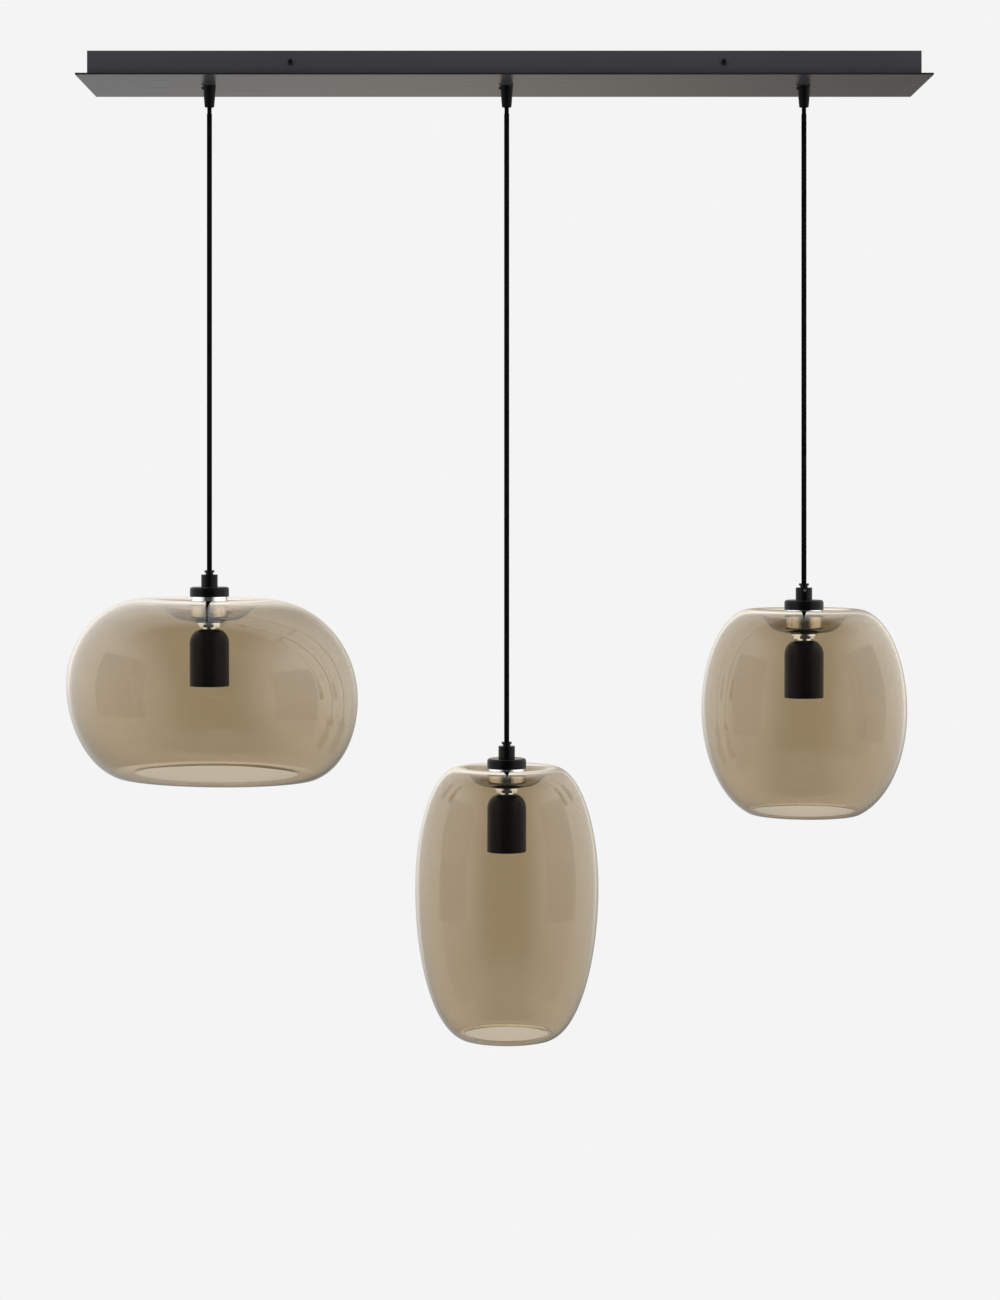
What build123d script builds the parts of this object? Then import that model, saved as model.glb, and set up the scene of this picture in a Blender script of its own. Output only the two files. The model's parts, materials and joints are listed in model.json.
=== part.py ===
from build123d import *
import math
import os
from dataclasses import dataclass

# Ceiling pendant with three glass lamps hung in a row from one long canopy.
# Millimetres, +Z up. The origin lies in the ceiling plane at the middle of the canopy, X runs along
# the canopy, and the side seen from the room is -Y.

# Canopy sheet metal
plate_length = 900.0
plate_width = 150.0
plate_thickness = 2.0
plate_overhang = 11.0
box_height = 25.0
box_sheet = 1.2
# Cords and brackets sit this far to the right of the middle of the sheet metal
row_shift = 3.0

# Ceiling brackets and the screws that hold the box on them
bracket_end_inset = 222.0
bracket_width = 24.0
bracket_sheet = 1.5
bracket_ear_height = 19.0
bracket_side_gap = 0.3
ceiling_hole_spacing = 70.0
ceiling_hole_radius = 2.5
side_screw_drop = 12.0
side_screw_radius = 1.5
side_screw_head_radius = 3.5
side_screw_head_height = 2.2
side_screw_head_round = 1.5
side_screw_key_flats = 2.5
side_screw_key_depth = 1.2
side_screw_grip = 3.0
side_screw_clearance = 0.1

# Cords and the grips that hold them in the plate
cord_end_inset = 130.0
cord_radius = 2.75
cord_clearance = 0.3
grip_length = 23.0
grip_top_radius = 7.0
grip_end_radius = 5.2
grip_end_round = 1.2
grip_shank_radius = 5.0
grip_shank_clearance = 0.1
grip_nut_height = 3.5
grip_nut_flats = 14.0
grip_shank_stand = 1.0
grip_screw_radius = 1.5
grip_screw_drop = 2.2
grip_screw_turn = 270.0
grip_screw_stand = 1.4
grip_screw_clearance = 0.1
grub_key_flats = 1.5
grub_key_depth = 1.2

# Wiring inside the canopy
tail_corner_depth = 4.5
tail_bend_radius = 12.0
tail_shoulder_run = 30.0
tail_shoulder_depth = 9.0
tail_shoulder_step = 4.0
tail_end_depth = 15.5
tail_lead_in = 24.0
tail_entry_step = 4.5
tail_bypass = 26.0
tail_bypass_start = 30.0
tail_bend_share = 0.45
block_place = -110.0
block_length = 46.0
block_width = 22.0
block_height = 15.0
block_poles = 3
block_pole_pitch = 13.0
block_row_spacing = 10.0
block_screw_radius = 2.0
block_screw_length = 4.0
block_screw_clearance = 0.2
block_screw_sink = 0.8
earth_place = 110.0
earth_stud_radius = 2.0
earth_stud_length = 10.0
earth_flange_radius = 4.5
earth_flange_height = 1.2
earth_nut_flats = 7.0
earth_nut_height = 3.2

# Gland, cap and spacer on top of each lamp
collar_radius = 5.4
collar_rim_height = 2.4
collar_waist_radius = 4.1
collar_waist_height = 2.1
collar_shank_length = 4.0
gland_radius = 8.9
gland_height = 13.3
gland_edge_round = 0.6
gland_screw_radius = 1.5
gland_screw_drop = 2.6
gland_screw_sink = 0.3
cord_end_depth = 6.0
lead_gap = 0.3
cap_radius = 21.0
cap_height = 10.5
cap_wall = 1.5
cap_edge_round = 2.8
spacer_radius = 19.2
spacer_wall = 1.4
fit_gap = 0.1

# Stem, gaskets and nut that clamp the glass
stem_radius = 5.0
stem_bore_radius = 3.4
stem_gland_grip = 6.0
stem_holder_grip = 8.0
gasket_radius = 20.0
under_gasket_radius = 14.5
gasket_thickness = 1.5
nut_height = 7.0
nut_flats = 19.0
nut_flange_radius = 13.0
nut_flange_height = 2.0
nut_neck_radius = 7.5
nut_neck_height = 1.8

# Socket cup and lampholder
cup_radius = 21.2
cup_height = 62.0
cup_wall = 1.0
cup_dome_height = 16.0
cup_crown_radius = 7.5
holder_side_gap = 0.8
holder_recess = 3.0
holder_boss_radius = 6.8
holder_cavity_depth = 28.0
shell_bore_radius = 13.4
shell_wall = 0.5
shell_length = 23.0
shell_flange = 1.5
contact_length = 14.0
contact_width = 6.0
contact_thickness = 0.8
contact_rise = 5.0
lead_radius = 1.0
lead_spacing = 2.6

# Glass
glass_wall = 3.0
glass_seat_radius = 21.5
glass_hole_clearance = 1.0
glass_heel_radius = 5.0

# Left lamp, wide and low
left_free_cord = 498.3
left_cap_lift = 2.6
left_seat_depth = 20.0
left_ridge_radius = 64.0
left_widest_radius = 155.9
left_shoulder_height = 99.8
left_belly_centre = 91.8
left_belly_reach = 94.6
left_belly_turn = 73.5
left_mouth_radius = 88.0
left_lip_angle = 0.0
left_screw_turn = 180.0

# Middle lamp, tall
middle_free_cord = 682.9
middle_cap_lift = -1.2
middle_seat_depth = 17.5
middle_ridge_radius = 51.0
middle_widest_radius = 98.8
middle_shoulder_height = 130.4
middle_belly_centre = 42.1
middle_belly_reach = 161.8
middle_belly_turn = 79.9
middle_mouth_radius = 44.5
middle_lip_angle = 40.0
middle_screw_turn = 100.0

# Right lamp, nearly round
right_free_cord = 512.4
right_cap_lift = -0.7
right_seat_depth = 22.0
right_ridge_radius = 56.3
right_widest_radius = 109.9
right_shoulder_height = 107.3
right_belly_centre = 39.8
right_belly_reach = 117.1
right_belly_turn = 73.2
right_mouth_radius = 53.5
right_lip_angle = 20.0
right_screw_turn = 0.0

# Heights and widths that follow from the sizes above
box_length = plate_length - 2 * plate_overhang
bracket_spacing = plate_length - 2 * bracket_end_inset
bracket_places = [row_shift + side * bracket_spacing / 2 for side in (-1, 1)]
lamp_spacing = plate_length / 2 - cord_end_inset
box_width = plate_width - 2 * plate_overhang
floor_top = box_sheet - box_height
plate_top = -box_height
plate_bottom = plate_top - plate_thickness
grip_end = plate_bottom - grip_length
shank_top = floor_top + grip_nut_height + grip_shank_stand
cord_bore_radius = cord_radius + cord_clearance
shell_outer_radius = shell_bore_radius + shell_wall
hole_radius = stem_radius + fit_gap


@dataclass
class Lamp:
    """One lamp: its place, the size of its glass, and the heights of its stack of pieces."""

    name: str
    x: float
    free_cord: float
    cap_lift: float
    seat_depth: float
    ridge_radius: float
    widest_radius: float
    shoulder_height: float
    belly_centre: float
    belly_reach: float
    belly_turn: float
    mouth_radius: float
    lip_angle: float
    screw_turn: float

    def __post_init__(self):
        self.collar_top = grip_end - self.free_cord
        self.gland_top = self.collar_top - collar_rim_height - collar_waist_height
        self.cap_top = self.gland_top - gland_height
        self.cap_bottom = self.cap_top - cap_height
        self.ridge = self.cap_bottom - self.cap_lift
        self.seat = self.ridge - self.seat_depth
        self.seat_under = self.seat - glass_wall
        self.nut_top = self.seat_under - gasket_thickness
        self.cup_top = self.nut_top - nut_height
        self.cup_bottom = self.cup_top - cup_height
        self.cord_end = self.gland_top - cord_end_depth
        self.stem_top = self.cap_top + stem_gland_grip
        self.boss_top = self.cup_top - cup_wall
        self.stem_bottom = self.boss_top - stem_holder_grip
        self.holder_bottom = self.cup_bottom + holder_recess
        self.cavity_top = self.holder_bottom + holder_cavity_depth


lamps = [
    Lamp(
        "left", row_shift - lamp_spacing, left_free_cord, left_cap_lift, left_seat_depth,
        left_ridge_radius, left_widest_radius, left_shoulder_height, left_belly_centre,
        left_belly_reach, left_belly_turn, left_mouth_radius, left_lip_angle, left_screw_turn,
    ),
    Lamp(
        "middle", row_shift, middle_free_cord, middle_cap_lift, middle_seat_depth,
        middle_ridge_radius, middle_widest_radius, middle_shoulder_height, middle_belly_centre,
        middle_belly_reach, middle_belly_turn, middle_mouth_radius, middle_lip_angle, middle_screw_turn,
    ),
    Lamp(
        "right", row_shift + lamp_spacing, right_free_cord, right_cap_lift, right_seat_depth,
        right_ridge_radius, right_widest_radius, right_shoulder_height, right_belly_centre,
        right_belly_reach, right_belly_turn, right_mouth_radius, right_lip_angle, right_screw_turn,
    ),
]


def save(name, *shapes):
    """Write one piece, or a group of like pieces, to its own file."""
    solids = [solid for shape in shapes for solid in shape.solids()]
    export_step(solids[0] if len(solids) == 1 else Compound(solids), f"parts/{name}.step")


def box_between(low, high):
    """Block from its lowest to its highest corner."""
    size = [b - a for a, b in zip(low, high)]
    middle = [(a + b) / 2 for a, b in zip(low, high)]
    return Pos(*middle) * Box(*size)


def rod(x, y, low, high, radius):
    """Upright round bar from one height to another."""
    return Pos(x, y, (low + high) / 2) * Cylinder(radius, high - low)


def turned(x, edges):
    """Solid turned about the upright axis at x, from a closed outline of radius and height."""
    return Pos(x, 0, 0) * revolve(Plane.XZ * Face(Wire(edges)), Axis.Z)


def turned_steps(x, points):
    """Solid turned from straight-sided steps, given as radius and height."""
    return turned(x, Polyline(*points, close=True).edges())


def hexagon_nut(x, y, low, height, flats, bore):
    """Plain hexagon nut lying on the height low."""
    body = extrude(Pos(x, y, low) * RegularPolygon(flats / 2, 6, major_radius=False), height)
    return body - rod(x, y, low - height, low + 2 * height, bore)


def side_bar(x, y, z, turn, start, end, radius):
    """Round bar that points away from an upright axis: turn 0 points to -Y, start and end are radii."""
    bar = Pos(0, -(start + end) / 2, 0) * Rot(90, 0, 0) * Cylinder(radius, end - start)
    return Pos(x, y, z) * Rot(0, 0, turn) * bar


def side_key(x, y, z, turn, end, depth, flats):
    """Hexagon recess sunk from the end of a side bar."""
    recess = extrude(RegularPolygon(flats / 2, 6, major_radius=False), 2 * depth)
    return Pos(x, y, z) * Rot(0, 0, turn) * Pos(0, depth - end, 0) * Rot(90, 0, 0) * recess


def each_side_screw():
    """Place of every side screw: x, and -1 for the front wall or 1 for the back wall."""
    return [(x, wall) for x in bracket_places for wall in (-1, 1)]


def canopy_box():
    """Open-topped tray with holes for the grips and for the side screws."""
    half_length = box_length / 2
    half_width = box_width / 2
    inner_length = half_length - box_sheet
    inner_width = half_width - box_sheet
    outer = box_between((-half_length, -half_width, plate_top), (half_length, half_width, 0))
    room = box_between((-inner_length, -inner_width, floor_top), (inner_length, inner_width, box_height))
    tray = outer - room
    for lamp in lamps:
        tray -= rod(lamp.x, 0, -2 * box_height, 0, grip_shank_radius + grip_shank_clearance)
    for x, wall in each_side_screw():
        radius = side_screw_radius + side_screw_clearance
        tray -= side_bar(x, 0, -side_screw_drop, 90 + 90 * wall, inner_width / 2, box_width, radius)
    return tray


def face_plate():
    """Flat plate under the tray, wider than it all round."""
    low = (-plate_length / 2, -plate_width / 2, plate_bottom)
    plate = box_between(low, (plate_length / 2, plate_width / 2, plate_top))
    for lamp in lamps:
        plate -= rod(lamp.x, 0, 2 * plate_bottom, 0, grip_shank_radius + grip_shank_clearance)
    return plate


def ceiling_bracket(x):
    """Strap against the ceiling, with an ear turned down at each end for a side screw."""
    reach = box_width / 2 - box_sheet - bracket_side_gap
    half = bracket_width / 2
    outer = box_between((x - half, -reach, -bracket_ear_height), (x + half, reach, 0))
    inside = reach - bracket_sheet
    strap = outer - box_between((x - half, -inside, -2 * box_height), (x + half, inside, -bracket_sheet))
    for side in (-1, 1):
        strap -= rod(x, side * ceiling_hole_spacing / 2, -box_height, box_height, ceiling_hole_radius)
        hole = side_screw_radius + side_screw_clearance
        strap -= side_bar(x, 0, -side_screw_drop, 90 + 90 * side, inside / 2, box_width, hole)
    return strap


def side_screw(x, wall):
    """Round-headed screw through the tray wall into the bracket's ear."""
    face = box_width / 2
    tip = face - box_sheet - bracket_side_gap - bracket_sheet - side_screw_grip
    head_top = face + side_screw_head_height
    round_start = head_top - side_screw_head_round
    outline = [
        Line((0, tip), (side_screw_radius, tip)),
        Line((side_screw_radius, tip), (side_screw_radius, face)),
        Line((side_screw_radius, face), (side_screw_head_radius, face)),
        Line((side_screw_head_radius, face), (side_screw_head_radius, round_start)),
        JernArc((side_screw_head_radius, round_start), (0, 1), side_screw_head_round, 90),
        Line((side_screw_head_radius - side_screw_head_round, head_top), (0, head_top)),
        Line((0, head_top), (0, tip)),
    ]
    turn = 90 + 90 * wall
    screw = Pos(x, 0, -side_screw_drop) * Rot(0, 0, turn) * Rot(90, 0, 0) * turned(0, outline)
    key = (turn, head_top, side_screw_key_depth, side_screw_key_flats)
    return screw - side_key(x, 0, -side_screw_drop, *key)


def cord_grip(lamp):
    """Tapered bush under the plate, with a threaded shank through plate and tray."""
    round_start = grip_end + grip_end_round
    rim = grip_end_radius - grip_end_round
    outline = [
        Line((cord_bore_radius, grip_end), (rim, grip_end)),
        JernArc((rim, grip_end), (1, 0), grip_end_round, 90),
        Line((grip_end_radius, round_start), (grip_top_radius, plate_bottom)),
        Line((grip_top_radius, plate_bottom), (grip_shank_radius, plate_bottom)),
        Line((grip_shank_radius, plate_bottom), (grip_shank_radius, shank_top)),
        Line((grip_shank_radius, shank_top), (cord_bore_radius, shank_top)),
        Line((cord_bore_radius, shank_top), (cord_bore_radius, grip_end)),
    ]
    radius = grip_screw_radius + grip_screw_clearance
    height = plate_bottom - grip_screw_drop
    hole = side_bar(lamp.x, 0, height, grip_screw_turn, 0, 2 * grip_top_radius, radius)
    return turned(lamp.x, outline) - hole


def grip_screw(lamp):
    """Screw in the side of a grip that pinches the cord."""
    tip = cord_radius + grip_screw_clearance
    head = grip_top_radius + grip_screw_stand
    height = plate_bottom - grip_screw_drop
    screw = side_bar(lamp.x, 0, height, grip_screw_turn, tip, head, grip_screw_radius)
    return screw - side_key(lamp.x, 0, height, grip_screw_turn, head, grub_key_depth, grub_key_flats)


def grip_locknut(lamp):
    """Nut on the shank of a grip that clamps tray and plate together."""
    bore = grip_shank_radius + grip_shank_clearance
    return hexagon_nut(lamp.x, 0, floor_top, grip_nut_height, grip_nut_flats, bore)


def corner_radii(points):
    """Radius at each corner of a route, as large as the runs beside it leave room for."""
    radii = []
    for before, corner, after in zip(points, points[1:], points[2:]):
        first = Vector(corner) - Vector(before)
        second = Vector(after) - Vector(corner)
        half_turn = math.radians(first.get_angle(second)) / 2
        radii.append(tail_bend_share * min(first.length, second.length) / math.tan(half_turn))
    return radii


def cord_tail(lamp, points):
    """Cord from a grip's mouth up into the tray and along to the terminal block."""
    radii = corner_radii(points)
    radii[0] = tail_bend_radius
    path = FilletPolyline(*points, radius=radii)
    section = Plane(origin=path @ 0, z_dir=path % 0) * Circle(cord_radius)
    tail = sweep(section, path=path)
    share = tail.volume / (math.pi * cord_radius**2 * path.length)
    print(f"cord_tail_{lamp.name} radii", [round(r, 1) for r in radii], f"volume share {share:.4f}")
    return tail


def tail_routes():
    """Route of each cord tail: up out of its grip, over a corner, and along to an end of the block."""
    start = grip_end + cord_radius + cord_clearance
    left, middle, right = (lamp.x for lamp in lamps)
    block_left = block_place - block_length / 2
    block_right = block_place + block_length / 2
    return [
        [
            (left, 0, start),
            (left, 0, -tail_corner_depth),
            (left + tail_shoulder_run, 0, -tail_shoulder_depth),
            (block_left - tail_lead_in, 0, -tail_end_depth),
            (block_left, 0, -tail_end_depth),
        ],
        [
            (middle, 0, start),
            (middle, 0, -tail_corner_depth),
            (middle - tail_shoulder_run, 0, -tail_shoulder_depth),
            (block_right + tail_lead_in, -tail_entry_step, -tail_end_depth),
            (block_right, -tail_entry_step, -tail_end_depth),
        ],
        [
            (right, 0, start),
            (right, 0, -tail_corner_depth),
            (right - tail_shoulder_run, tail_shoulder_step, -tail_shoulder_depth),
            (middle + tail_bypass_start, tail_bypass, -tail_end_depth),
            (block_right + tail_lead_in, tail_entry_step, -tail_end_depth),
            (block_right, tail_entry_step, -tail_end_depth),
        ],
    ]


def block_screw_places():
    """Places of the terminal screws: one at each end of every pole."""
    first = -(block_poles - 1) / 2
    return [
        (block_place + (first + pole) * block_pole_pitch, row * block_row_spacing / 2)
        for pole in range(block_poles)
        for row in (-1, 1)
    ]


def terminal_block():
    """Insulating block on the tray floor, with a well for each terminal screw."""
    top = floor_top + block_height
    low = (block_place - block_length / 2, -block_width / 2, floor_top)
    block = box_between(low, (block_place + block_length / 2, block_width / 2, top))
    well = top - block_screw_sink - block_screw_length
    for x, y in block_screw_places():
        block -= rod(x, y, well, top + block_height, block_screw_radius + block_screw_clearance)
    return block


def terminal_screw(x, y):
    """Slotted screw in its well."""
    top = floor_top + block_height - block_screw_sink
    screw = rod(x, y, top - block_screw_length, top, block_screw_radius)
    slot = block_screw_radius / 4
    reach = 2 * block_screw_radius
    return screw - box_between((x - slot, y - reach, top - 2 * slot), (x + slot, y + reach, top))


def earth_stud():
    """Flanged stud on the tray floor."""
    flange_top = floor_top + earth_flange_height
    points = [
        (0, floor_top),
        (earth_flange_radius, floor_top),
        (earth_flange_radius, flange_top),
        (earth_stud_radius, flange_top),
        (earth_stud_radius, floor_top + earth_stud_length),
        (0, floor_top + earth_stud_length),
    ]
    return turned_steps(earth_place, points)


def earth_nut():
    """Nut on the earth stud."""
    low = floor_top + earth_flange_height
    return hexagon_nut(earth_place, 0, low, earth_nut_height, earth_nut_flats, earth_stud_radius + fit_gap)


def cord_flex(lamp):
    """The short length of cord that bends where it leaves the grip, round so that it can turn any way."""
    return Pos(lamp.x, 0, grip_end) * Sphere(cord_radius)


def cord(lamp):
    """Straight cord from its bend under the grip to its end inside the gland."""
    return rod(lamp.x, 0, lamp.cord_end, grip_end - cord_radius - cord_clearance, cord_radius)


def gland_collar(lamp):
    """Ring round the cord, with a waist and a shank that sits in the gland."""
    waist_top = lamp.collar_top - collar_rim_height
    points = [
        (cord_bore_radius, lamp.collar_top),
        (collar_radius, lamp.collar_top),
        (collar_radius, waist_top),
        (collar_waist_radius, waist_top),
        (collar_waist_radius, lamp.gland_top - collar_shank_length),
        (cord_bore_radius, lamp.gland_top - collar_shank_length),
    ]
    return turned_steps(lamp.x, points)


def gland_body(lamp):
    """Round gland: a seat for the collar on top, and a thread for the stem below."""
    seat = lamp.gland_top - collar_shank_length
    seat_radius = collar_waist_radius + fit_gap
    edge = gland_radius - gland_edge_round
    outline = [
        Line((seat_radius, lamp.gland_top), (edge, lamp.gland_top)),
        JernArc((edge, lamp.gland_top), (1, 0), gland_edge_round, -90),
        Line((gland_radius, lamp.gland_top - gland_edge_round), (gland_radius, lamp.cap_top)),
        Line((gland_radius, lamp.cap_top), (hole_radius, lamp.cap_top)),
        Line((hole_radius, lamp.cap_top), (hole_radius, lamp.stem_top)),
        Line((hole_radius, lamp.stem_top), (cord_bore_radius, lamp.stem_top)),
        Line((cord_bore_radius, lamp.stem_top), (cord_bore_radius, seat)),
        Line((cord_bore_radius, seat), (seat_radius, seat)),
        Line((seat_radius, seat), (seat_radius, lamp.gland_top)),
    ]
    height = lamp.gland_top - gland_screw_drop
    hole = side_bar(lamp.x, 0, height, lamp.screw_turn, 0, 2 * gland_radius, gland_screw_radius + fit_gap)
    return turned(lamp.x, outline) - hole


def gland_screw(lamp):
    """Grub screw that locks the collar in the gland."""
    tip = collar_waist_radius + fit_gap
    end = gland_radius - gland_screw_sink
    height = lamp.gland_top - gland_screw_drop
    screw = side_bar(lamp.x, 0, height, lamp.screw_turn, tip, end, gland_screw_radius)
    return screw - side_key(lamp.x, 0, height, lamp.screw_turn, end, grub_key_depth, grub_key_flats)


def cap(lamp):
    """Round cap with an open underside that covers the top of the spacer."""
    under = lamp.cap_top - cap_wall
    inner = cap_radius - cap_wall
    edge = cap_radius - cap_edge_round
    outline = [
        Line((hole_radius, lamp.cap_top), (edge, lamp.cap_top)),
        JernArc((edge, lamp.cap_top), (1, 0), cap_edge_round, -90),
        Line((cap_radius, lamp.cap_top - cap_edge_round), (cap_radius, lamp.cap_bottom)),
        Line((cap_radius, lamp.cap_bottom), (inner, lamp.cap_bottom)),
        Line((inner, lamp.cap_bottom), (inner, lamp.cap_top - cap_edge_round)),
        JernArc((inner, lamp.cap_top - cap_edge_round), (0, 1), cap_edge_round - cap_wall, 90),
        Line((edge, under), (hole_radius, under)),
        Line((hole_radius, under), (hole_radius, lamp.cap_top)),
    ]
    return turned(lamp.x, outline)


def spacer(lamp):
    """Bright cup from the gasket up into the cap, with a floor that takes the clamping force."""
    low = lamp.seat + gasket_thickness
    high = lamp.cap_top - cap_edge_round
    inner = spacer_radius - spacer_wall
    points = [
        (hole_radius, low),
        (spacer_radius, low),
        (spacer_radius, high),
        (inner, high),
        (inner, low + spacer_wall),
        (hole_radius, low + spacer_wall),
    ]
    return turned_steps(lamp.x, points)


def stem_sleeve(lamp):
    """Tube round the stem that carries the cap on the floor of the spacer."""
    low = lamp.seat + gasket_thickness + spacer_wall
    high = lamp.cap_top - cap_wall
    return rod(lamp.x, 0, low, high, stem_radius + spacer_wall) - rod(lamp.x, 0, low, high, hole_radius)


def stem(lamp):
    """Hollow threaded tube from the gland down into the lampholder."""
    tube = rod(lamp.x, 0, lamp.stem_bottom, lamp.stem_top, stem_radius)
    return tube - rod(lamp.x, 0, lamp.stem_bottom, lamp.stem_top, stem_bore_radius)


def gasket(lamp, low, radius):
    """Rubber disc between glass and metal."""
    disc = rod(lamp.x, 0, low, low + gasket_thickness, radius)
    return disc - rod(lamp.x, 0, low, low + gasket_thickness, hole_radius)


def clamp_nut(lamp):
    """Bright flanged nut on a short neck, which presses the lower gasket against the glass."""
    flange_low = lamp.nut_top - nut_flange_height
    neck_top = lamp.cup_top + nut_neck_height
    flange = rod(lamp.x, 0, flange_low, lamp.nut_top, nut_flange_radius)
    neck = rod(lamp.x, 0, lamp.cup_top, neck_top, nut_neck_radius)
    body = hexagon_nut(lamp.x, 0, neck_top, flange_low - neck_top, nut_flats, hole_radius)
    return body + (flange + neck - rod(lamp.x, 0, lamp.cup_top, lamp.nut_top, hole_radius))


def heel(belly, radius, lip_angle):
    """Round corner that leads from the lower end of a belly curve into the lip."""
    ahead = -(belly % 0)
    slope = math.degrees(math.atan2(-ahead.Y, -ahead.X))
    return JernArc(belly @ 0, ahead, radius, -(slope + lip_angle))


def shade(lamp):
    """Blown glass: a dished top with a clamped floor, a round shoulder and belly, a turned-in lip."""
    wall = glass_wall
    middle = lamp.ridge - lamp.shoulder_height
    hole = stem_radius + glass_hole_clearance
    dish_run = lamp.ridge_radius - glass_seat_radius
    dish_turn = 2 * math.atan(lamp.seat_depth / dish_run)
    dish_radius = dish_run / (2 * math.sin(dish_turn))
    turn = math.degrees(dish_turn)
    top_out = JernArc((lamp.ridge_radius, lamp.ridge), (-1, 0), dish_radius, turn)
    top_in = JernArc(top_out @ 1, top_out % 1, dish_radius, -turn)
    under_in = JernArc((glass_seat_radius, lamp.seat_under), (1, 0), dish_radius + wall, turn)
    under_out = JernArc(under_in @ 1, under_in % 1, dish_radius - wall, -turn)
    shoulder_centre = (lamp.ridge_radius, middle)
    shoulder_run = lamp.widest_radius - lamp.ridge_radius
    shoulder_rise = lamp.shoulder_height
    belly_centre = (lamp.belly_centre, middle)
    belly_run = lamp.widest_radius - lamp.belly_centre
    reach = lamp.belly_reach
    drop = lamp.belly_turn
    belly_out = EllipticalCenterArc(belly_centre, belly_run, reach, -drop, arc_size=drop)
    belly_in = EllipticalCenterArc(belly_centre, belly_run - wall, reach - wall, -drop, arc_size=drop)
    heel_out = heel(belly_out, glass_heel_radius, lamp.lip_angle)
    heel_in = heel(belly_in, glass_heel_radius - wall, lamp.lip_angle)
    lip_turn = math.radians(lamp.lip_angle)
    inward = Vector(-math.cos(lip_turn), math.sin(lip_turn))
    upward = Vector(math.sin(lip_turn), math.cos(lip_turn))
    lip_start = heel_out @ 1
    lip_run = (lip_start.X - lamp.mouth_radius) / math.cos(lip_turn) - wall / 2
    lip_end = lip_start + inward * lip_run
    lip_wall = (heel_in @ 1 - lip_start).dot(upward)
    lip_edge = JernArc(lip_end, inward, lip_wall / 2, -180)
    outline = [
        EllipticalCenterArc(shoulder_centre, shoulder_run, shoulder_rise, 0, arc_size=90),
        top_out,
        top_in,
        Line((glass_seat_radius, lamp.seat), (hole, lamp.seat)),
        Line((hole, lamp.seat), (hole, lamp.seat_under)),
        Line((hole, lamp.seat_under), (glass_seat_radius, lamp.seat_under)),
        under_in,
        under_out,
        EllipticalCenterArc(shoulder_centre, shoulder_run - wall, shoulder_rise - wall, 0, arc_size=90),
        belly_in,
        heel_in,
        Line(heel_in @ 1, lip_edge @ 1),
        lip_edge,
        Line(lip_end, lip_start),
        heel_out,
        belly_out,
    ]
    return turned(lamp.x, outline)


def socket_cup(lamp):
    """Dome-topped metal cup round the lampholder, open below."""
    dome = lamp.cup_top - cup_dome_height
    reach = cup_radius - cup_crown_radius
    inner = cup_radius - cup_wall
    inner_reach = reach - cup_wall
    inner_rise = cup_dome_height - cup_wall
    outline = [
        Line((hole_radius, lamp.cup_top), (cup_crown_radius, lamp.cup_top)),
        EllipticalCenterArc((cup_crown_radius, dome), reach, cup_dome_height, 0, arc_size=90),
        Line((cup_radius, dome), (cup_radius, lamp.cup_bottom)),
        Line((cup_radius, lamp.cup_bottom), (inner, lamp.cup_bottom)),
        Line((inner, lamp.cup_bottom), (inner, dome)),
        EllipticalCenterArc((cup_crown_radius, dome), inner_reach, inner_rise, 0, arc_size=90),
        Line((cup_crown_radius, lamp.boss_top), (hole_radius, lamp.boss_top)),
        Line((hole_radius, lamp.boss_top), (hole_radius, lamp.cup_top)),
    ]
    return turned(lamp.x, outline)


def lampholder(lamp):
    """Insulating body in the cup: a boss for the stem above, a socket for the lamp below."""
    outer = cup_radius - cup_wall - holder_side_gap
    shoulder = lamp.cup_top - cup_dome_height
    points = [
        (stem_bore_radius, lamp.cavity_top),
        (stem_bore_radius, lamp.stem_bottom),
        (hole_radius, lamp.stem_bottom),
        (hole_radius, lamp.boss_top),
        (holder_boss_radius, lamp.boss_top),
        (holder_boss_radius, shoulder),
        (outer, shoulder),
        (outer, lamp.holder_bottom),
        (shell_outer_radius, lamp.holder_bottom),
        (shell_outer_radius, lamp.cavity_top),
    ]
    return turned_steps(lamp.x, points)


def screw_shell(lamp):
    """Thin metal sleeve that takes the lamp's screw cap, with a flange on the holder's lower face."""
    low = lamp.holder_bottom
    flange_low = low - shell_wall
    top = low + shell_length
    points = [
        (shell_bore_radius, flange_low),
        (shell_outer_radius + shell_flange, flange_low),
        (shell_outer_radius + shell_flange, low),
        (shell_outer_radius, low),
        (shell_outer_radius, top),
        (shell_bore_radius, top),
    ]
    return turned_steps(lamp.x, points)


def centre_contact(lamp):
    """Bent metal tongue under the roof of the socket that touches the lamp's tip."""
    top = lamp.cavity_top
    half = contact_length / 2
    thick = contact_thickness
    points = [
        (-half, top),
        (half, top),
        (half, top - thick),
        (-half + 2 * thick, top - thick),
        (0, top - contact_rise + thick),
        (half / 2, top - contact_rise + thick),
        (half / 2, top - contact_rise),
        (-thick / 2, top - contact_rise),
        (-half, top - thick),
    ]
    profile = Plane.XZ * Face(Wire(Polyline(*points, close=True).edges()))
    return Pos(lamp.x, 0, 0) * extrude(profile, contact_width / 2, both=True)


def lamp_leads(lamp):
    """Two core leads from the cord's end down the stem to the lampholder."""
    top = lamp.cord_end - lead_gap
    return [rod(lamp.x + side * lead_spacing / 2, 0, lamp.cavity_top, top, lead_radius) for side in (-1, 1)]


os.makedirs("parts", exist_ok=True)

save("canopy_box", canopy_box())
save("face_plate", face_plate())
save("ceiling_brackets", *[ceiling_bracket(x) for x in bracket_places])
save("side_screws", *[side_screw(x, wall) for x, wall in each_side_screw()])
save("grip_screws", *[grip_screw(lamp) for lamp in lamps])
save("grip_locknuts", *[grip_locknut(lamp) for lamp in lamps])
save("terminal_block", terminal_block())
save("terminal_screws", *[terminal_screw(x, y) for x, y in block_screw_places()])
save("earth_stud", earth_stud(), earth_nut())

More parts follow.
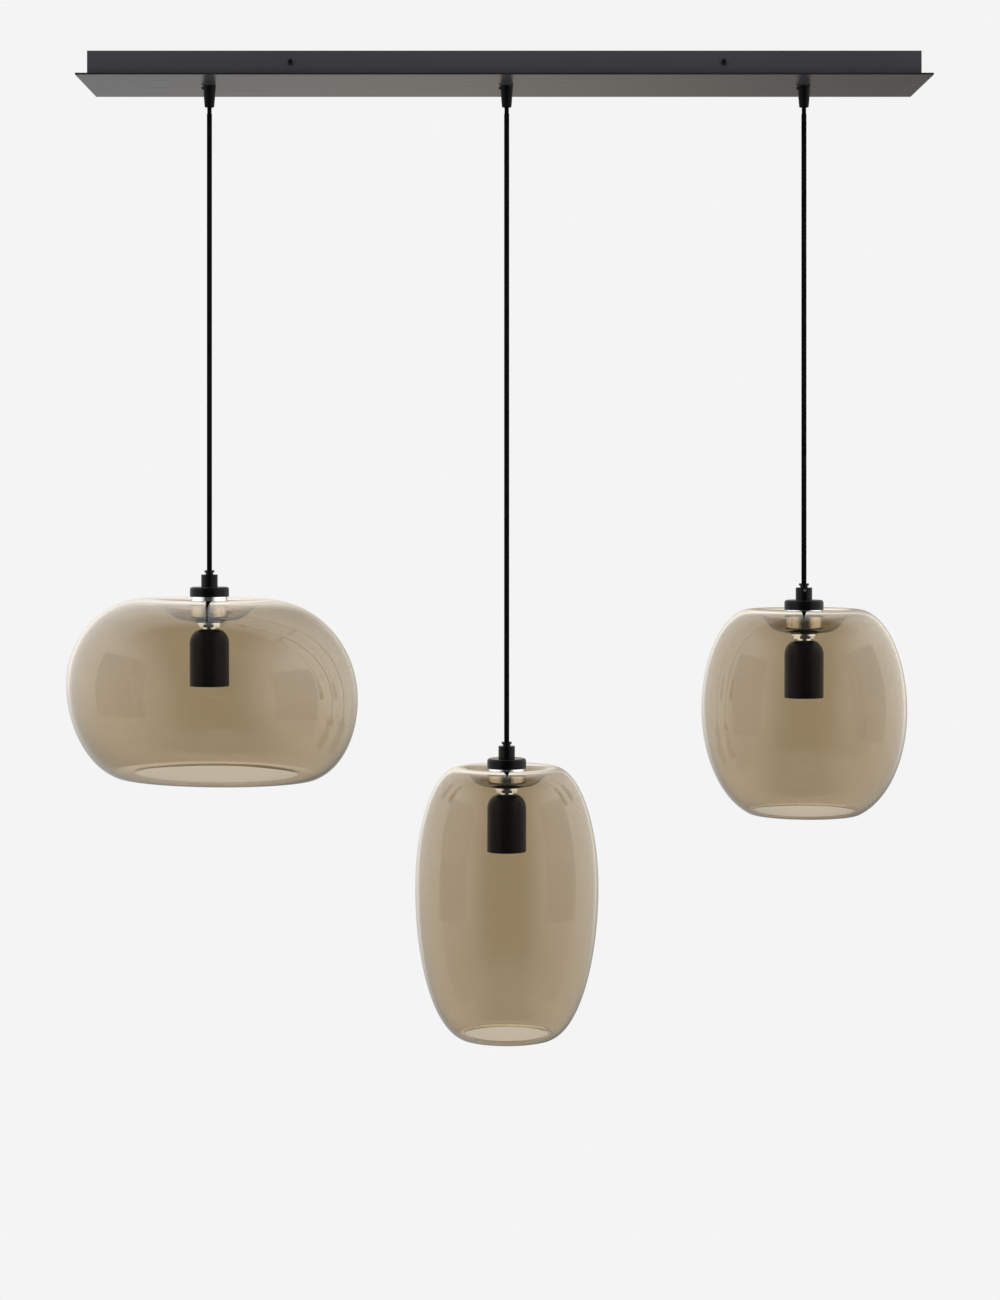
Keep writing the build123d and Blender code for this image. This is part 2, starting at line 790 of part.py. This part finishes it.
for lamp, route in zip(lamps, tail_routes()):
    save(f"cord_grip_{lamp.name}", cord_grip(lamp))
    save(f"cord_tail_{lamp.name}", cord_tail(lamp, route))
    save(f"cord_flex_{lamp.name}", cord_flex(lamp))
    save(f"cord_{lamp.name}", cord(lamp))
    save(f"gland_collar_{lamp.name}", gland_collar(lamp))
    save(f"gland_body_{lamp.name}", gland_body(lamp))
    save(f"gland_screw_{lamp.name}", gland_screw(lamp))
    save(f"cap_{lamp.name}", cap(lamp))
    save(f"spacer_{lamp.name}", spacer(lamp), stem_sleeve(lamp))
    save(f"stem_{lamp.name}", stem(lamp))
    upper_gasket = gasket(lamp, lamp.seat, gasket_radius)
    save(f"gaskets_{lamp.name}", upper_gasket, gasket(lamp, lamp.nut_top, under_gasket_radius))
    save(f"shade_{lamp.name}", shade(lamp))
    save(f"clamp_nut_{lamp.name}", clamp_nut(lamp))
    save(f"socket_cup_{lamp.name}", socket_cup(lamp))
    save(f"lampholder_{lamp.name}", lampholder(lamp))
    save(f"socket_contacts_{lamp.name}", screw_shell(lamp), centre_contact(lamp))
    save(f"lamp_leads_{lamp.name}", *lamp_leads(lamp))
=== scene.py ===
import json
import math

import bpy
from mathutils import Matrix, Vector


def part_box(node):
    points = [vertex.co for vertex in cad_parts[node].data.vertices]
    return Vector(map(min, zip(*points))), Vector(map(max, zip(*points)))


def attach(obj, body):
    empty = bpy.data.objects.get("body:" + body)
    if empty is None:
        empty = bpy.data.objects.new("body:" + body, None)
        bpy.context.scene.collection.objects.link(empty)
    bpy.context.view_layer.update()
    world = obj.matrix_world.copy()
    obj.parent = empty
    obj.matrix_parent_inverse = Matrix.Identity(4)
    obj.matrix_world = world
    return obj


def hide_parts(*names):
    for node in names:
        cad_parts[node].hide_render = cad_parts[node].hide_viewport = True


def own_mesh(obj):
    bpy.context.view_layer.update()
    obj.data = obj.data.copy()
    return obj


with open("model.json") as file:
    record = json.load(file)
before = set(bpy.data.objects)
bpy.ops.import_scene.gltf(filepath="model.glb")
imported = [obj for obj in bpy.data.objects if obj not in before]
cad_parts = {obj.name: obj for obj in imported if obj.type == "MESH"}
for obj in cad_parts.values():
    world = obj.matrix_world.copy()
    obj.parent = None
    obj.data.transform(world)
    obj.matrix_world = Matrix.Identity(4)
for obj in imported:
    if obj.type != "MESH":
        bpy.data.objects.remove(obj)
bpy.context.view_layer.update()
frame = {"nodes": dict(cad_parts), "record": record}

nodes = frame["nodes"]
scene = bpy.context.scene
LAMPS = ("left", "middle", "right")
LAMP_X = {lamp: (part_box(f"cord_{lamp}")[0][0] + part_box(f"cord_{lamp}")[1][0]) / 2 for lamp in LAMPS}

# Camera: level, a little left of the middle, opposite the lower part of the outer cords.
camera = bpy.data.cameras.new("camera")
camera.sensor_width = 36.0
camera.lens = 72.0
camera.shift_x = 0.0113
camera.shift_y = -0.113
camera_object = bpy.data.objects.new("camera", camera)
camera_object.location = (-0.020, -2.799, -0.476)
camera_object.rotation_euler = (math.radians(90), 0, 0)
scene.collection.objects.link(camera_object)
scene.camera = camera_object
scene.view_settings.view_transform = "Standard"
scene.view_settings.look = "None"


def nurbs_points(name, route):
    """Points along a smooth line with the route's points as its control points."""
    curve = bpy.data.curves.new(name, "CURVE")
    curve.dimensions = "3D"
    curve.resolution_u = 16
    spline = curve.splines.new("NURBS")
    spline.points.add(len(route) - 1)
    for point, place in zip(spline.points, route):
        point.co = (*place, 1.0)
    spline.order_u = 3
    spline.use_endpoint_u = True
    holder = bpy.data.objects.new(name, curve)
    scene.collection.objects.link(holder)
    bpy.context.view_layer.update()
    mesh = bpy.data.meshes.new_from_object(holder.evaluated_get(bpy.context.evaluated_depsgraph_get()))
    points = [vertex.co.copy() for vertex in mesh.vertices]
    bpy.data.objects.remove(holder)
    bpy.data.curves.remove(curve)
    bpy.data.meshes.remove(mesh)
    return points


def mesh_object(name, points, faces):
    """Smooth mesh object from points and faces."""
    mesh = bpy.data.meshes.new(name)
    mesh.from_pydata([tuple(p) for p in points], [], faces)
    mesh.update()
    mesh.polygons.foreach_set("use_smooth", [True] * len(mesh.polygons))
    piece = bpy.data.objects.new(name, mesh)
    scene.collection.objects.link(piece)
    return piece


# Cords. A hanging one is a little thinner just below its grip, so that it can lean clear of the grip's rim.
CORD_RADIUS = 0.00275
CORD_SIDES = 28
NECK_RADIUS = 0.00235
NECK_END = 0.006
NECK_SHOULDER = 0.008
BALL_STEPS = 6


def tube(name, path, radius, necked=False):
    """Round tube along a path, closed at both ends. A necked one starts with half a ball and the neck."""
    rings = []
    side = Vector((0, 1, 0))
    for index, place in enumerate(path):
        ahead = path[min(index + 1, len(path) - 1)] - path[max(index - 1, 0)]
        ahead.normalize()
        side = (side - ahead * side.dot(ahead)).normalized()
        rings.append((place, ahead, side, radius))
    if necked:
        start, ahead, side, _ = rings[0]
        neck = []
        for step in range(1, BALL_STEPS + 1):
            angle = math.pi / 2 * step / BALL_STEPS
            place = start - ahead * NECK_RADIUS * math.cos(angle)
            neck.append((place, ahead, side, NECK_RADIUS * math.sin(angle)))
        neck.append((start + ahead * NECK_END, ahead, side, NECK_RADIUS))
        neck.append((start + ahead * NECK_SHOULDER, ahead, side, radius))
        rings = neck + [ring for ring in rings if (ring[0] - start).length > NECK_SHOULDER]
    points = []
    for place, ahead, side, reach in rings:
        other = ahead.cross(side)
        for k in range(CORD_SIDES):
            turn = 2 * math.pi * k / CORD_SIDES
            points.append(place + (side * math.cos(turn) + other * math.sin(turn)) * reach)
    faces = []
    for ring in range(len(rings) - 1):
        for k in range(CORD_SIDES):
            a = ring * CORD_SIDES + k
            b = ring * CORD_SIDES + (k + 1) % CORD_SIDES
            faces.append((a, b, b + CORD_SIDES, a + CORD_SIDES))
    faces.append(tuple(range(CORD_SIDES - 1, -1, -1)))
    last = (len(rings) - 1) * CORD_SIDES
    faces.append(tuple(range(last, last + CORD_SIDES)))
    return mesh_object(name, points, faces)


# Hanging cords: straight from the mouth of the grip to the gland.
GRIP_MOUTH = -0.050
CORD_LEAD = 0.033
cords = []
for lamp in LAMPS:
    x = LAMP_X[lamp]
    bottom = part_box(f"cord_{lamp}")[0][2]
    route = [(x, 0, GRIP_MOUTH), (x, 0, GRIP_MOUTH - CORD_LEAD), (x, 0, bottom + CORD_LEAD), (x, 0, bottom)]
    path = nurbs_points(f"route_{lamp}", route)
    piece = tube(f"hanging_cord_{lamp}", path, CORD_RADIUS, necked=True)
    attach(piece, f"{lamp}_cord")
    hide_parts(f"cord_{lamp}", f"cord_flex_{lamp}")
    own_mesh(piece)
    cords.append(piece)

# Cord tails inside the canopy, from the grips to the terminal block.
TAIL_ROUTES = {
    "left": [
        (-0.317, 0, -0.04695), (-0.317, 0, -0.0345), (-0.317, 0, -0.0045), (-0.287, 0, -0.009),
        (-0.157, 0, -0.0155), (-0.133, 0, -0.0155),
    ],
    "middle": [
        (0.003, 0, -0.04695), (0.003, 0, -0.0345), (0.003, 0, -0.0045), (-0.027, 0, -0.009),
        (-0.063, -0.0045, -0.0155), (-0.087, -0.0045, -0.0155),
    ],
    "right": [
        (0.323, 0, -0.04695), (0.323, 0, -0.0345), (0.323, 0, -0.0045), (0.293, 0.004, -0.009),
        (0.033, 0.026, -0.0155), (-0.063, 0.0045, -0.0155), (-0.087, 0.0045, -0.0155),
    ],
}
for lamp, route in TAIL_ROUTES.items():
    path = nurbs_points(f"tail_route_{lamp}", route)
    piece = tube(f"tail_{lamp}", path, CORD_RADIUS)
    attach(piece, "canopy")
    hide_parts(f"cord_tail_{lamp}")
    cords.append(piece)

materials = {}


def new_material(name, **sockets):
    """Node tree and principled shader of a new material with the given constant sockets."""
    material = bpy.data.materials.new(name)
    material.use_nodes = True
    shader = material.node_tree.nodes["Principled BSDF"]
    for socket, value in sockets.items():
        shader.inputs[socket.replace("_", " ")].default_value = value
    materials[name] = material
    return material.node_tree, shader


def number(tree, operation, first, second):
    """Math node of two inputs, each a socket or a plain number."""
    node = tree.nodes.new("ShaderNodeMath")
    node.operation = operation
    for slot, value in zip(node.inputs, (first, second)):
        if isinstance(value, (int, float)):
            slot.default_value = value
        else:
            tree.links.new(value, slot)
    return node.outputs["Value"]


def product(tree, first, *others):
    """Product of several sockets."""
    for other in others:
        first = number(tree, "MULTIPLY", first, other)
    return first


def ramp(tree, value, low, high, start, end):
    """Smooth change from start at low to end at high."""
    node = tree.nodes.new("ShaderNodeMapRange")
    node.interpolation_type = "SMOOTHSTEP"
    for name, level in (("From Min", low), ("From Max", high), ("To Min", start), ("To Max", end)):
        node.inputs[name].default_value = level
    tree.links.new(value, node.inputs["Value"])
    return node.outputs["Result"]


def axes(tree, coordinates):
    """X, y and z of one kind of texture coordinates."""
    place = tree.nodes.new("ShaderNodeTexCoord")
    split = tree.nodes.new("ShaderNodeSeparateXYZ")
    tree.links.new(place.outputs[coordinates], split.inputs["Vector"])
    return split.outputs


def noise(tree, scale, detail, stretch=None):
    """Noise texture in the object's own frame, in cycles per metre."""
    place = tree.nodes.new("ShaderNodeTexCoord")
    texture = tree.nodes.new("ShaderNodeTexNoise")
    texture.inputs["Scale"].default_value = scale
    texture.inputs["Detail"].default_value = detail
    source = place.outputs["Object"]
    if stretch:
        mapping = tree.nodes.new("ShaderNodeMapping")
        mapping.inputs["Scale"].default_value = stretch
        tree.links.new(source, mapping.inputs["Vector"])
        source = mapping.outputs["Vector"]
    tree.links.new(source, texture.inputs["Vector"])
    return texture.outputs["Fac"]


# Levels of the noise between which roughness and colour change, and its detail for each use
ROUGHNESS_SPAN = (0.3, 0.7)
COLOUR_SPAN = (0.32, 0.68)
ROUGHNESS_DETAIL = 3.0
COLOUR_DETAIL = 4.0
BUMP_DETAIL = 2.0


def vary_roughness(tree, shader, scale, low, high, stretch=None):
    """Roughness that wanders between two values."""
    spread = tree.nodes.new("ShaderNodeMapRange")
    spread.inputs["From Min"].default_value = ROUGHNESS_SPAN[0]
    spread.inputs["From Max"].default_value = ROUGHNESS_SPAN[1]
    spread.inputs["To Min"].default_value = low
    spread.inputs["To Max"].default_value = high
    tree.links.new(noise(tree, scale, ROUGHNESS_DETAIL, stretch), spread.inputs["Value"])
    tree.links.new(spread.outputs["Result"], shader.inputs["Roughness"])


def vary_colour(tree, shader, scale, dark, light):
    """Base colour that wanders between two colours."""
    blend = tree.nodes.new("ShaderNodeValToRGB")
    for element, position, colour in zip(blend.color_ramp.elements, COLOUR_SPAN, (dark, light)):
        element.position = position
        element.color = (*colour, 1)
    tree.links.new(noise(tree, scale, COLOUR_DETAIL), blend.inputs["Fac"])
    tree.links.new(blend.outputs["Color"], shader.inputs["Base Color"])
    return blend.outputs["Color"]


def add_bump(tree, shader, scale, height, strength):
    """Fine relief, height in metres."""
    bump = tree.nodes.new("ShaderNodeBump")
    bump.inputs["Strength"].default_value = strength
    bump.inputs["Distance"].default_value = height
    tree.links.new(noise(tree, scale, BUMP_DETAIL), bump.inputs["Height"])
    tree.links.new(bump.outputs["Normal"], shader.inputs["Normal"])


tree, shader = new_material("canopy_paint", Metallic=0.0, IOR=1.5, Specular_IOR_Level=0.24)
painted = vary_colour(tree, shader, 6.0, (0.043, 0.043, 0.050), (0.046, 0.046, 0.053))
vary_roughness(tree, shader, 300.0, 0.26, 0.30, stretch=(0.03, 1, 1))
add_bump(tree, shader, 1800.0, 0.00001, 0.15)
# A thin band along the plate's edges is coloured darker than its faces.
EDGE_BAND = 0.0004
EDGE_COLOUR = (0.014, 0.014, 0.015, 1)
plate_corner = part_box("face_plate")[1]
edges = []
for axis, reach in zip(axes(tree, "Object"), plate_corner[:2]):
    edge_start = float(reach) - EDGE_BAND
    edges.append(number(tree, "GREATER_THAN", number(tree, "ABSOLUTE", axis, 0.0), edge_start))
darker_edge_band = tree.nodes.new("ShaderNodeMixRGB")
darker_edge_band.inputs["Color2"].default_value = EDGE_COLOUR
tree.links.new(number(tree, "MAXIMUM", *edges), darker_edge_band.inputs["Fac"])
tree.links.new(painted, darker_edge_band.inputs["Color1"])
tree.links.new(darker_edge_band.outputs["Color"], shader.inputs["Base Color"])

tree, shader = new_material("black_screws", Metallic=0.6)
vary_colour(tree, shader, 400.0, (0.008, 0.008, 0.009), (0.016, 0.015, 0.015))
vary_roughness(tree, shader, 600.0, 0.28, 0.45)

tree, shader = new_material("grip_plastic", IOR=1.5, Specular_IOR_Level=0.06)
vary_colour(tree, shader, 120.0, (0.003, 0.003, 0.003), (0.004, 0.004, 0.004))
vary_roughness(tree, shader, 200.0, 0.40, 0.50)
add_bump(tree, shader, 2500.0, 0.00002, 0.2)

tree, shader = new_material("cord_jacket", IOR=1.5, Specular_IOR_Level=0.0)
vary_colour(tree, shader, 60.0, (0.003, 0.003, 0.003), (0.005, 0.005, 0.005))
vary_roughness(tree, shader, 150.0, 0.50, 0.60, stretch=(1, 1, 0.15))

tree, shader = new_material("socket_black", IOR=1.5, Specular_IOR_Level=0.12)
vary_colour(tree, shader, 40.0, (0.0028, 0.0028, 0.0028), (0.0032, 0.0032, 0.0032))
vary_roughness(tree, shader, 160.0, 0.19, 0.21)

tree, shader = new_material("zinc_steel", Metallic=1.0)
vary_colour(tree, shader, 150.0, (0.48, 0.49, 0.51), (0.62, 0.62, 0.63))
vary_roughness(tree, shader, 420.0, 0.25, 0.42)
add_bump(tree, shader, 2200.0, 0.00003, 0.4)

tree, shader = new_material("polished_steel", Metallic=1.0)
vary_colour(tree, shader, 90.0, (0.90, 0.90, 0.90), (0.95, 0.95, 0.95))
vary_roughness(tree, shader, 500.0, 0.04, 0.09, stretch=(1, 1, 12))

tree, shader = new_material("gasket_rubber", IOR=1.5)
vary_colour(tree, shader, 200.0, (0.006, 0.006, 0.006), (0.012, 0.012, 0.012))
vary_roughness(tree, shader, 300.0, 0.65, 0.8)

tree, shader = new_material("holder_porcelain", IOR=1.5)
vary_colour(tree, shader, 120.0, (0.68, 0.66, 0.61), (0.78, 0.76, 0.72))
vary_roughness(tree, shader, 260.0, 0.35, 0.5)

tree, shader = new_material("contact_brass", Metallic=1.0)
vary_colour(tree, shader, 160.0, (0.60, 0.43, 0.19), (0.76, 0.58, 0.30))
vary_roughness(tree, shader, 420.0, 0.22, 0.4)

tree, shader = new_material("terminal_plastic", IOR=1.5)
vary_colour(tree, shader, 80.0, (0.66, 0.66, 0.63), (0.76, 0.76, 0.74))
vary_roughness(tree, shader, 200.0, 0.28, 0.4)

tree, shader = new_material("lead_jacket", IOR=1.5)
vary_colour(tree, shader, 120.0, (0.18, 0.08, 0.04), (0.26, 0.12, 0.06))
vary_roughness(tree, shader, 260.0, 0.4, 0.5)

# Smoked glass: each surface tints the light a little, and so does the thickness of the wall.
tree, shader = new_material("smoked_glass", Roughness=0.0, IOR=1.46, Transmission_Weight=1.0)
shader.inputs["Base Color"].default_value = (0.645, 0.570, 0.450, 1)
absorb = tree.nodes.new("ShaderNodeVolumeAbsorption")
absorb.inputs["Color"].default_value = (0.47, 0.315, 0.03, 1)
absorb.inputs["Density"].default_value = 45.0
tree.links.new(absorb.outputs["Volume"], tree.nodes["Material Output"].inputs["Volume"])

for entry in frame["record"]["subparts"]:
    piece = nodes[entry["node"]]
    piece.data.materials.clear()
    piece.data.materials.append(materials[entry["material_slot"]])
for piece in cords:
    piece.data.materials.append(materials["cord_jacket"])

# Blown glass shades: sizes in millimetres, and the slope of the lip in degrees. The shoulder goes down from
# the ridge round the dished top to the widest level, and the belly goes on from there to the heel.
WALL = 3.0
SEAT_RADIUS = 21.5
SEAT_FLAT = 8.0
HOLE_RADIUS = 6.0
HEEL_RADIUS = 5.0
SHADES = {
    "left": dict(
        ridge=64.0, depth=20.0, widest=155.9, shoulder=99.8, centre=91.8,
        reach=94.6, belly=90.7, mouth=88.0, lip=0.0,
    ),
    "middle": dict(
        ridge=51.0, depth=17.5, widest=98.8, shoulder=130.4, centre=42.1,
        reach=161.8, belly=159.3, mouth=44.5, lip=40.0,
    ),
    "right": dict(
        ridge=56.3, depth=22.0, widest=109.9, shoulder=107.3, centre=39.8,
        reach=117.1, belly=112.1, mouth=53.5, lip=20.0,
    ),
}
GLASS_SIDES = 160
CURVE_STEPS = 44
BEND_STEPS = 16
HEEL_STEPS = 8
LIP_STEPS = 10

# The left glass hangs a little askew: it leans to one side as it goes down, and tilts across its width.
LEAN = {"left": 0.045, "middle": 0.0, "right": 0.0}
TILT = {"left": -0.020, "middle": 0.0, "right": 0.0}

# Unevenness of blown glass: height of each wave in millimetres, its lobes, its twist on the way down, and its
# multiple of the lamp's phase. It starts at a share of the ridge's radius, is full a span further out, and
# fades out over the last share of the height above the lip.
WAVES = ((0.22, 2, 5.0, 1.0), (0.12, 3, -7.0, 2.0))
INNER_WAVE = (0.10, 4, 9.0, 3.0)
PHASE = {"left": 0.3, "middle": 2.1, "right": 4.0}
RISE_START = 0.8
RISE_SPAN = 0.4
LIP_FADE = 0.12


def arc(start, heading, radius, turn, steps):
    """Points of a round arc: heading and turn in degrees, a positive turn goes to the left."""
    side = math.copysign(1, turn)
    first = math.radians(heading) - side * math.pi / 2
    centre = (start[0] - radius * math.cos(first), start[1] - radius * math.sin(first))
    points = []
    for step in range(1, steps + 1):
        angle = first + math.radians(turn) * step / steps
        points.append((centre[0] + radius * math.cos(angle), centre[1] + radius * math.sin(angle)))
    return points


def ellipse(centre, across, up, first, last):
    """Points of an ellipse from one angle to another, in degrees."""
    points = []
    for step in range(CURVE_STEPS + 1):
        angle = math.radians(first + (last - first) * step / CURVE_STEPS)
        points.append((centre[0] + across * math.cos(angle), centre[1] + up * math.sin(angle)))
    return points


def belly_and_heel(size, inset):
    """Belly curve, set in by a wall or not, and the round corner from its lower end to the lip."""
    across = size["widest"] - size["centre"] - inset
    down = size["reach"] - inset
    drop = math.asin(size["belly"] / size["reach"])
    slope = math.degrees(math.atan2(down * math.cos(drop), across * math.sin(drop)))
    belly = ellipse((size["centre"], -size["shoulder"]), across, down, 0, -math.degrees(drop))
    return belly, arc(belly[-1], 180 + slope, HEEL_RADIUS - inset, -(slope + size["lip"]), HEEL_STEPS)


def shade_outline(size):
    """Closed outline of a shade as radius, height from its ridge and 1 inside or 0 outside."""
    crown = (size["ridge"], -size["shoulder"])
    run = size["ridge"] - SEAT_RADIUS
    turn = 2 * math.degrees(math.atan(size["depth"] / run))
    bend = run / (2 * math.sin(math.radians(turn)))
    seat = -size["depth"]
    outer = ellipse(crown, size["widest"] - size["ridge"], size["shoulder"], 0, 90)
    outer += arc(outer[-1], 180, bend, turn, BEND_STEPS)
    outer += arc(outer[-1], 180 + turn, bend, -turn, BEND_STEPS)
    outer += [(SEAT_RADIUS - SEAT_FLAT, seat), (HOLE_RADIUS, seat)]
    inner = [(HOLE_RADIUS, seat - WALL), (SEAT_RADIUS - SEAT_FLAT, seat - WALL), (SEAT_RADIUS, seat - WALL)]
    inner += arc(inner[-1], 0, bend + WALL, turn, BEND_STEPS)
    inner += arc(inner[-1], turn, bend - WALL, -turn, BEND_STEPS)
    inner += ellipse(crown, size["widest"] - size["ridge"] - WALL, size["shoulder"] - WALL, 90, 0)[1:]
    belly_in, heel_in = belly_and_heel(size, WALL)
    belly_out, heel_out = belly_and_heel(size, 0.0)
    inner += belly_in[1:] + heel_in
    angle = math.radians(size["lip"])
    start = heel_out[-1]
    length = (start[0] - size["mouth"]) / math.cos(angle) - WALL / 2
    end = (start[0] - length * math.cos(angle), start[1] + length * math.sin(angle))
    thick = (heel_in[-1][0] - start[0]) * math.sin(angle) + (heel_in[-1][1] - start[1]) * math.cos(angle)
    edge = (end[0] + thick * math.sin(angle), end[1] + thick * math.cos(angle))
    inner += [edge] + arc(edge, 180 - size["lip"], thick / 2, 180, LIP_STEPS)
    below = heel_out[::-1] + belly_out[:0:-1]
    return [(*p, 0.0) for p in outer] + [(*p, 1.0) for p in inner] + [(*p, 0.0) for p in below]


def clamp(value):
    """Value kept between 0 and 1."""
    return max(0.0, min(1.0, value))


def wave_at(wave, turn, share, phase):
    """Height of one wave at a turn round the glass and a share of the way down."""
    height, lobes, twist, multiple = wave
    return height * math.sin(lobes * turn + twist * share + multiple * phase)


def blown_shade(lamp):
    """Turned glass with the unevenness of blown work, which fades out towards the seat and the lip."""
    size = SHADES[lamp]
    outline = shade_outline(size)
    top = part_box(f"shade_{lamp}")[1][2]
    height = size["shoulder"] + size["belly"]
    phase = PHASE[lamp]
    points = []
    for radius, level, inside in outline:
        share = -level / height
        rise = clamp((radius - size["ridge"] * RISE_START) / (size["ridge"] * RISE_SPAN))
        fade = rise * clamp((1.0 - share) / LIP_FADE)
        x = LAMP_X[lamp] - LEAN[lamp] * (size["depth"] + level) / 1000
        for k in range(GLASS_SIDES):
            turn = 2 * math.pi * k / GLASS_SIDES
            uneven = sum(wave_at(wave, turn, share, phase) for wave in WAVES)
            uneven += inside * wave_at(INNER_WAVE, turn, share, phase)
            reach = (radius + fade * uneven) / 1000
            slant = TILT[lamp] * reach * math.cos(turn) * rise
            points.append((x + reach * math.cos(turn), reach * math.sin(turn), top + level / 1000 + slant))
    count = len(outline)
    faces = []
    for ring in range(count):
        here = ring * GLASS_SIDES
        following = (ring + 1) % count * GLASS_SIDES
        for k in range(GLASS_SIDES):
            after = (k + 1) % GLASS_SIDES
            faces.append((here + k, here + after, following + after, following + k))
    piece = mesh_object(f"glass_{lamp}", points, faces)
    piece.data.materials.append(materials["smoked_glass"])
    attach(piece, f"{lamp}_lamp")
    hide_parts(f"shade_{lamp}")
    piece.visible_glossy = False


for lamp in LAMPS:
    blown_shade(lamp)

# The glass mirrors neither the other shades nor the canopy.
for node in ("canopy_box", "face_plate"):
    nodes[node].visible_glossy = False

# Pale floor of the room, below the picture.
FLOOR_SIDES = 128
FLOOR_RADIUS = 3.4
FLOOR_HEIGHT = -2.45
rim = []
for side in range(FLOOR_SIDES):
    turn = 2 * math.pi * side / FLOOR_SIDES
    rim.append((FLOOR_RADIUS * math.cos(turn), FLOOR_RADIUS * math.sin(turn), FLOOR_HEIGHT))
floor = mesh_object("floor", rim, [tuple(range(FLOOR_SIDES))])
new_material("floor_white", Roughness=0.7, Base_Color=(0.86, 0.86, 0.86, 1))
floor.data.materials.append(materials["floor_white"])
floor.visible_glossy = False

# Soft panels in front, left and right, facing the middle of the lamps.
PANEL_WIDTH = 2.0
PANEL_HEIGHT = 2.4
PANEL_AIM = Vector((0, 0, -0.6))


def soft_light(name, place, power):
    """Large soft panel that isn't mirrored."""
    light = bpy.data.lights.new(name, "AREA")
    light.shape = "RECTANGLE"
    light.size = PANEL_WIDTH
    light.size_y = PANEL_HEIGHT
    light.energy = power
    panel = bpy.data.objects.new(name, light)
    panel.location = place
    panel.rotation_euler = (PANEL_AIM - Vector(place)).to_track_quat("-Z", "Y").to_euler()
    panel.visible_glossy = False
    panel.visible_transmission = False
    scene.collection.objects.link(panel)


soft_light("panel_left", place=(-2.7, -1.5, -0.3), power=22)
soft_light("panel_right", place=(2.7, -1.5, -0.3), power=14)

# Plain white room, which mirrored light finds darker in front, below and behind, and brighter above and at
# the sides. Each ramp below has two levels along an axis of the direction and its values there.
ROOM_WHITE = 0.905
GAP_ASIDE = (0.3, 0.85, 0.95, 0.0)
GAP_DEPTH = (-0.05, 0.25, 1.0, 0.0)
GAP_HEIGHT = (-0.55, -0.36, 0.0, 1.0)
BEHIND_DEPTH = (0.1, 0.85, 0.0, 1.0)
BEHIND_ACROSS = (-0.05, 0.17, 0.36, 0.74)
BEHIND_ASIDE = (0.3, 0.7, 1.0, 0.55)
ROOM_ACROSS = (-1.0, 1.0, 1.0, 1.1)
ROOM_HEIGHT = (-0.6, 0.25, 0.45, 1.3)
OVERHEAD = (0.15, 0.7, 1.0, 1.35)
ROOM_ASIDE = (0.6, 1.0, 1.0, 1.3)
WARM_DEPTH = (0.6, 0.95, 0.0, 1.0)
WARM_ACROSS = (-0.16, 0.0, 0.1, 1.0)
WARM_COLOUR = (1.06, 0.96, 0.83, 1)

world = bpy.data.worlds.new("studio")
scene.world = world
world.use_nodes = True
tree = world.node_tree
background = tree.nodes["Background"]
x, y, z = axes(tree, "Generated")
aside = number(tree, "ABSOLUTE", x, 0.0)
gap = product(tree, ramp(tree, aside, *GAP_ASIDE), ramp(tree, y, *GAP_DEPTH), ramp(tree, z, *GAP_HEIGHT))
behind = product(
    tree, ramp(tree, y, *BEHIND_DEPTH), ramp(tree, x, *BEHIND_ACROSS), ramp(tree, aside, *BEHIND_ASIDE),
)
room = product(
    tree, ramp(tree, x, *ROOM_ACROSS), ramp(tree, z, *ROOM_HEIGHT), number(tree, "SUBTRACT", 1.0, gap),
    ramp(tree, z, *OVERHEAD), ramp(tree, aside, *ROOM_ASIDE), number(tree, "SUBTRACT", 1.0, behind),
)
ray = tree.nodes.new("ShaderNodeLightPath")
mirrored = number(tree, "GREATER_THAN", ray.outputs["Glossy Depth"], 0.5)
change = number(tree, "MULTIPLY", mirrored, number(tree, "SUBTRACT", room, ROOM_WHITE))
tree.links.new(number(tree, "ADD", change, ROOM_WHITE), background.inputs["Strength"])

# Mirrored light from straight behind is a little warm.
warm = product(tree, ramp(tree, y, *WARM_DEPTH), ramp(tree, x, *WARM_ACROSS))
tint = tree.nodes.new("ShaderNodeMixRGB")
tint.inputs["Color1"].default_value = (1.0, 1.0, 1.0, 1)
tint.inputs["Color2"].default_value = WARM_COLOUR
tree.links.new(number(tree, "MULTIPLY", mirrored, warm), tint.inputs["Fac"])
tree.links.new(tint.outputs["Color"], background.inputs["Color"])

bpy.context.view_layer.update()
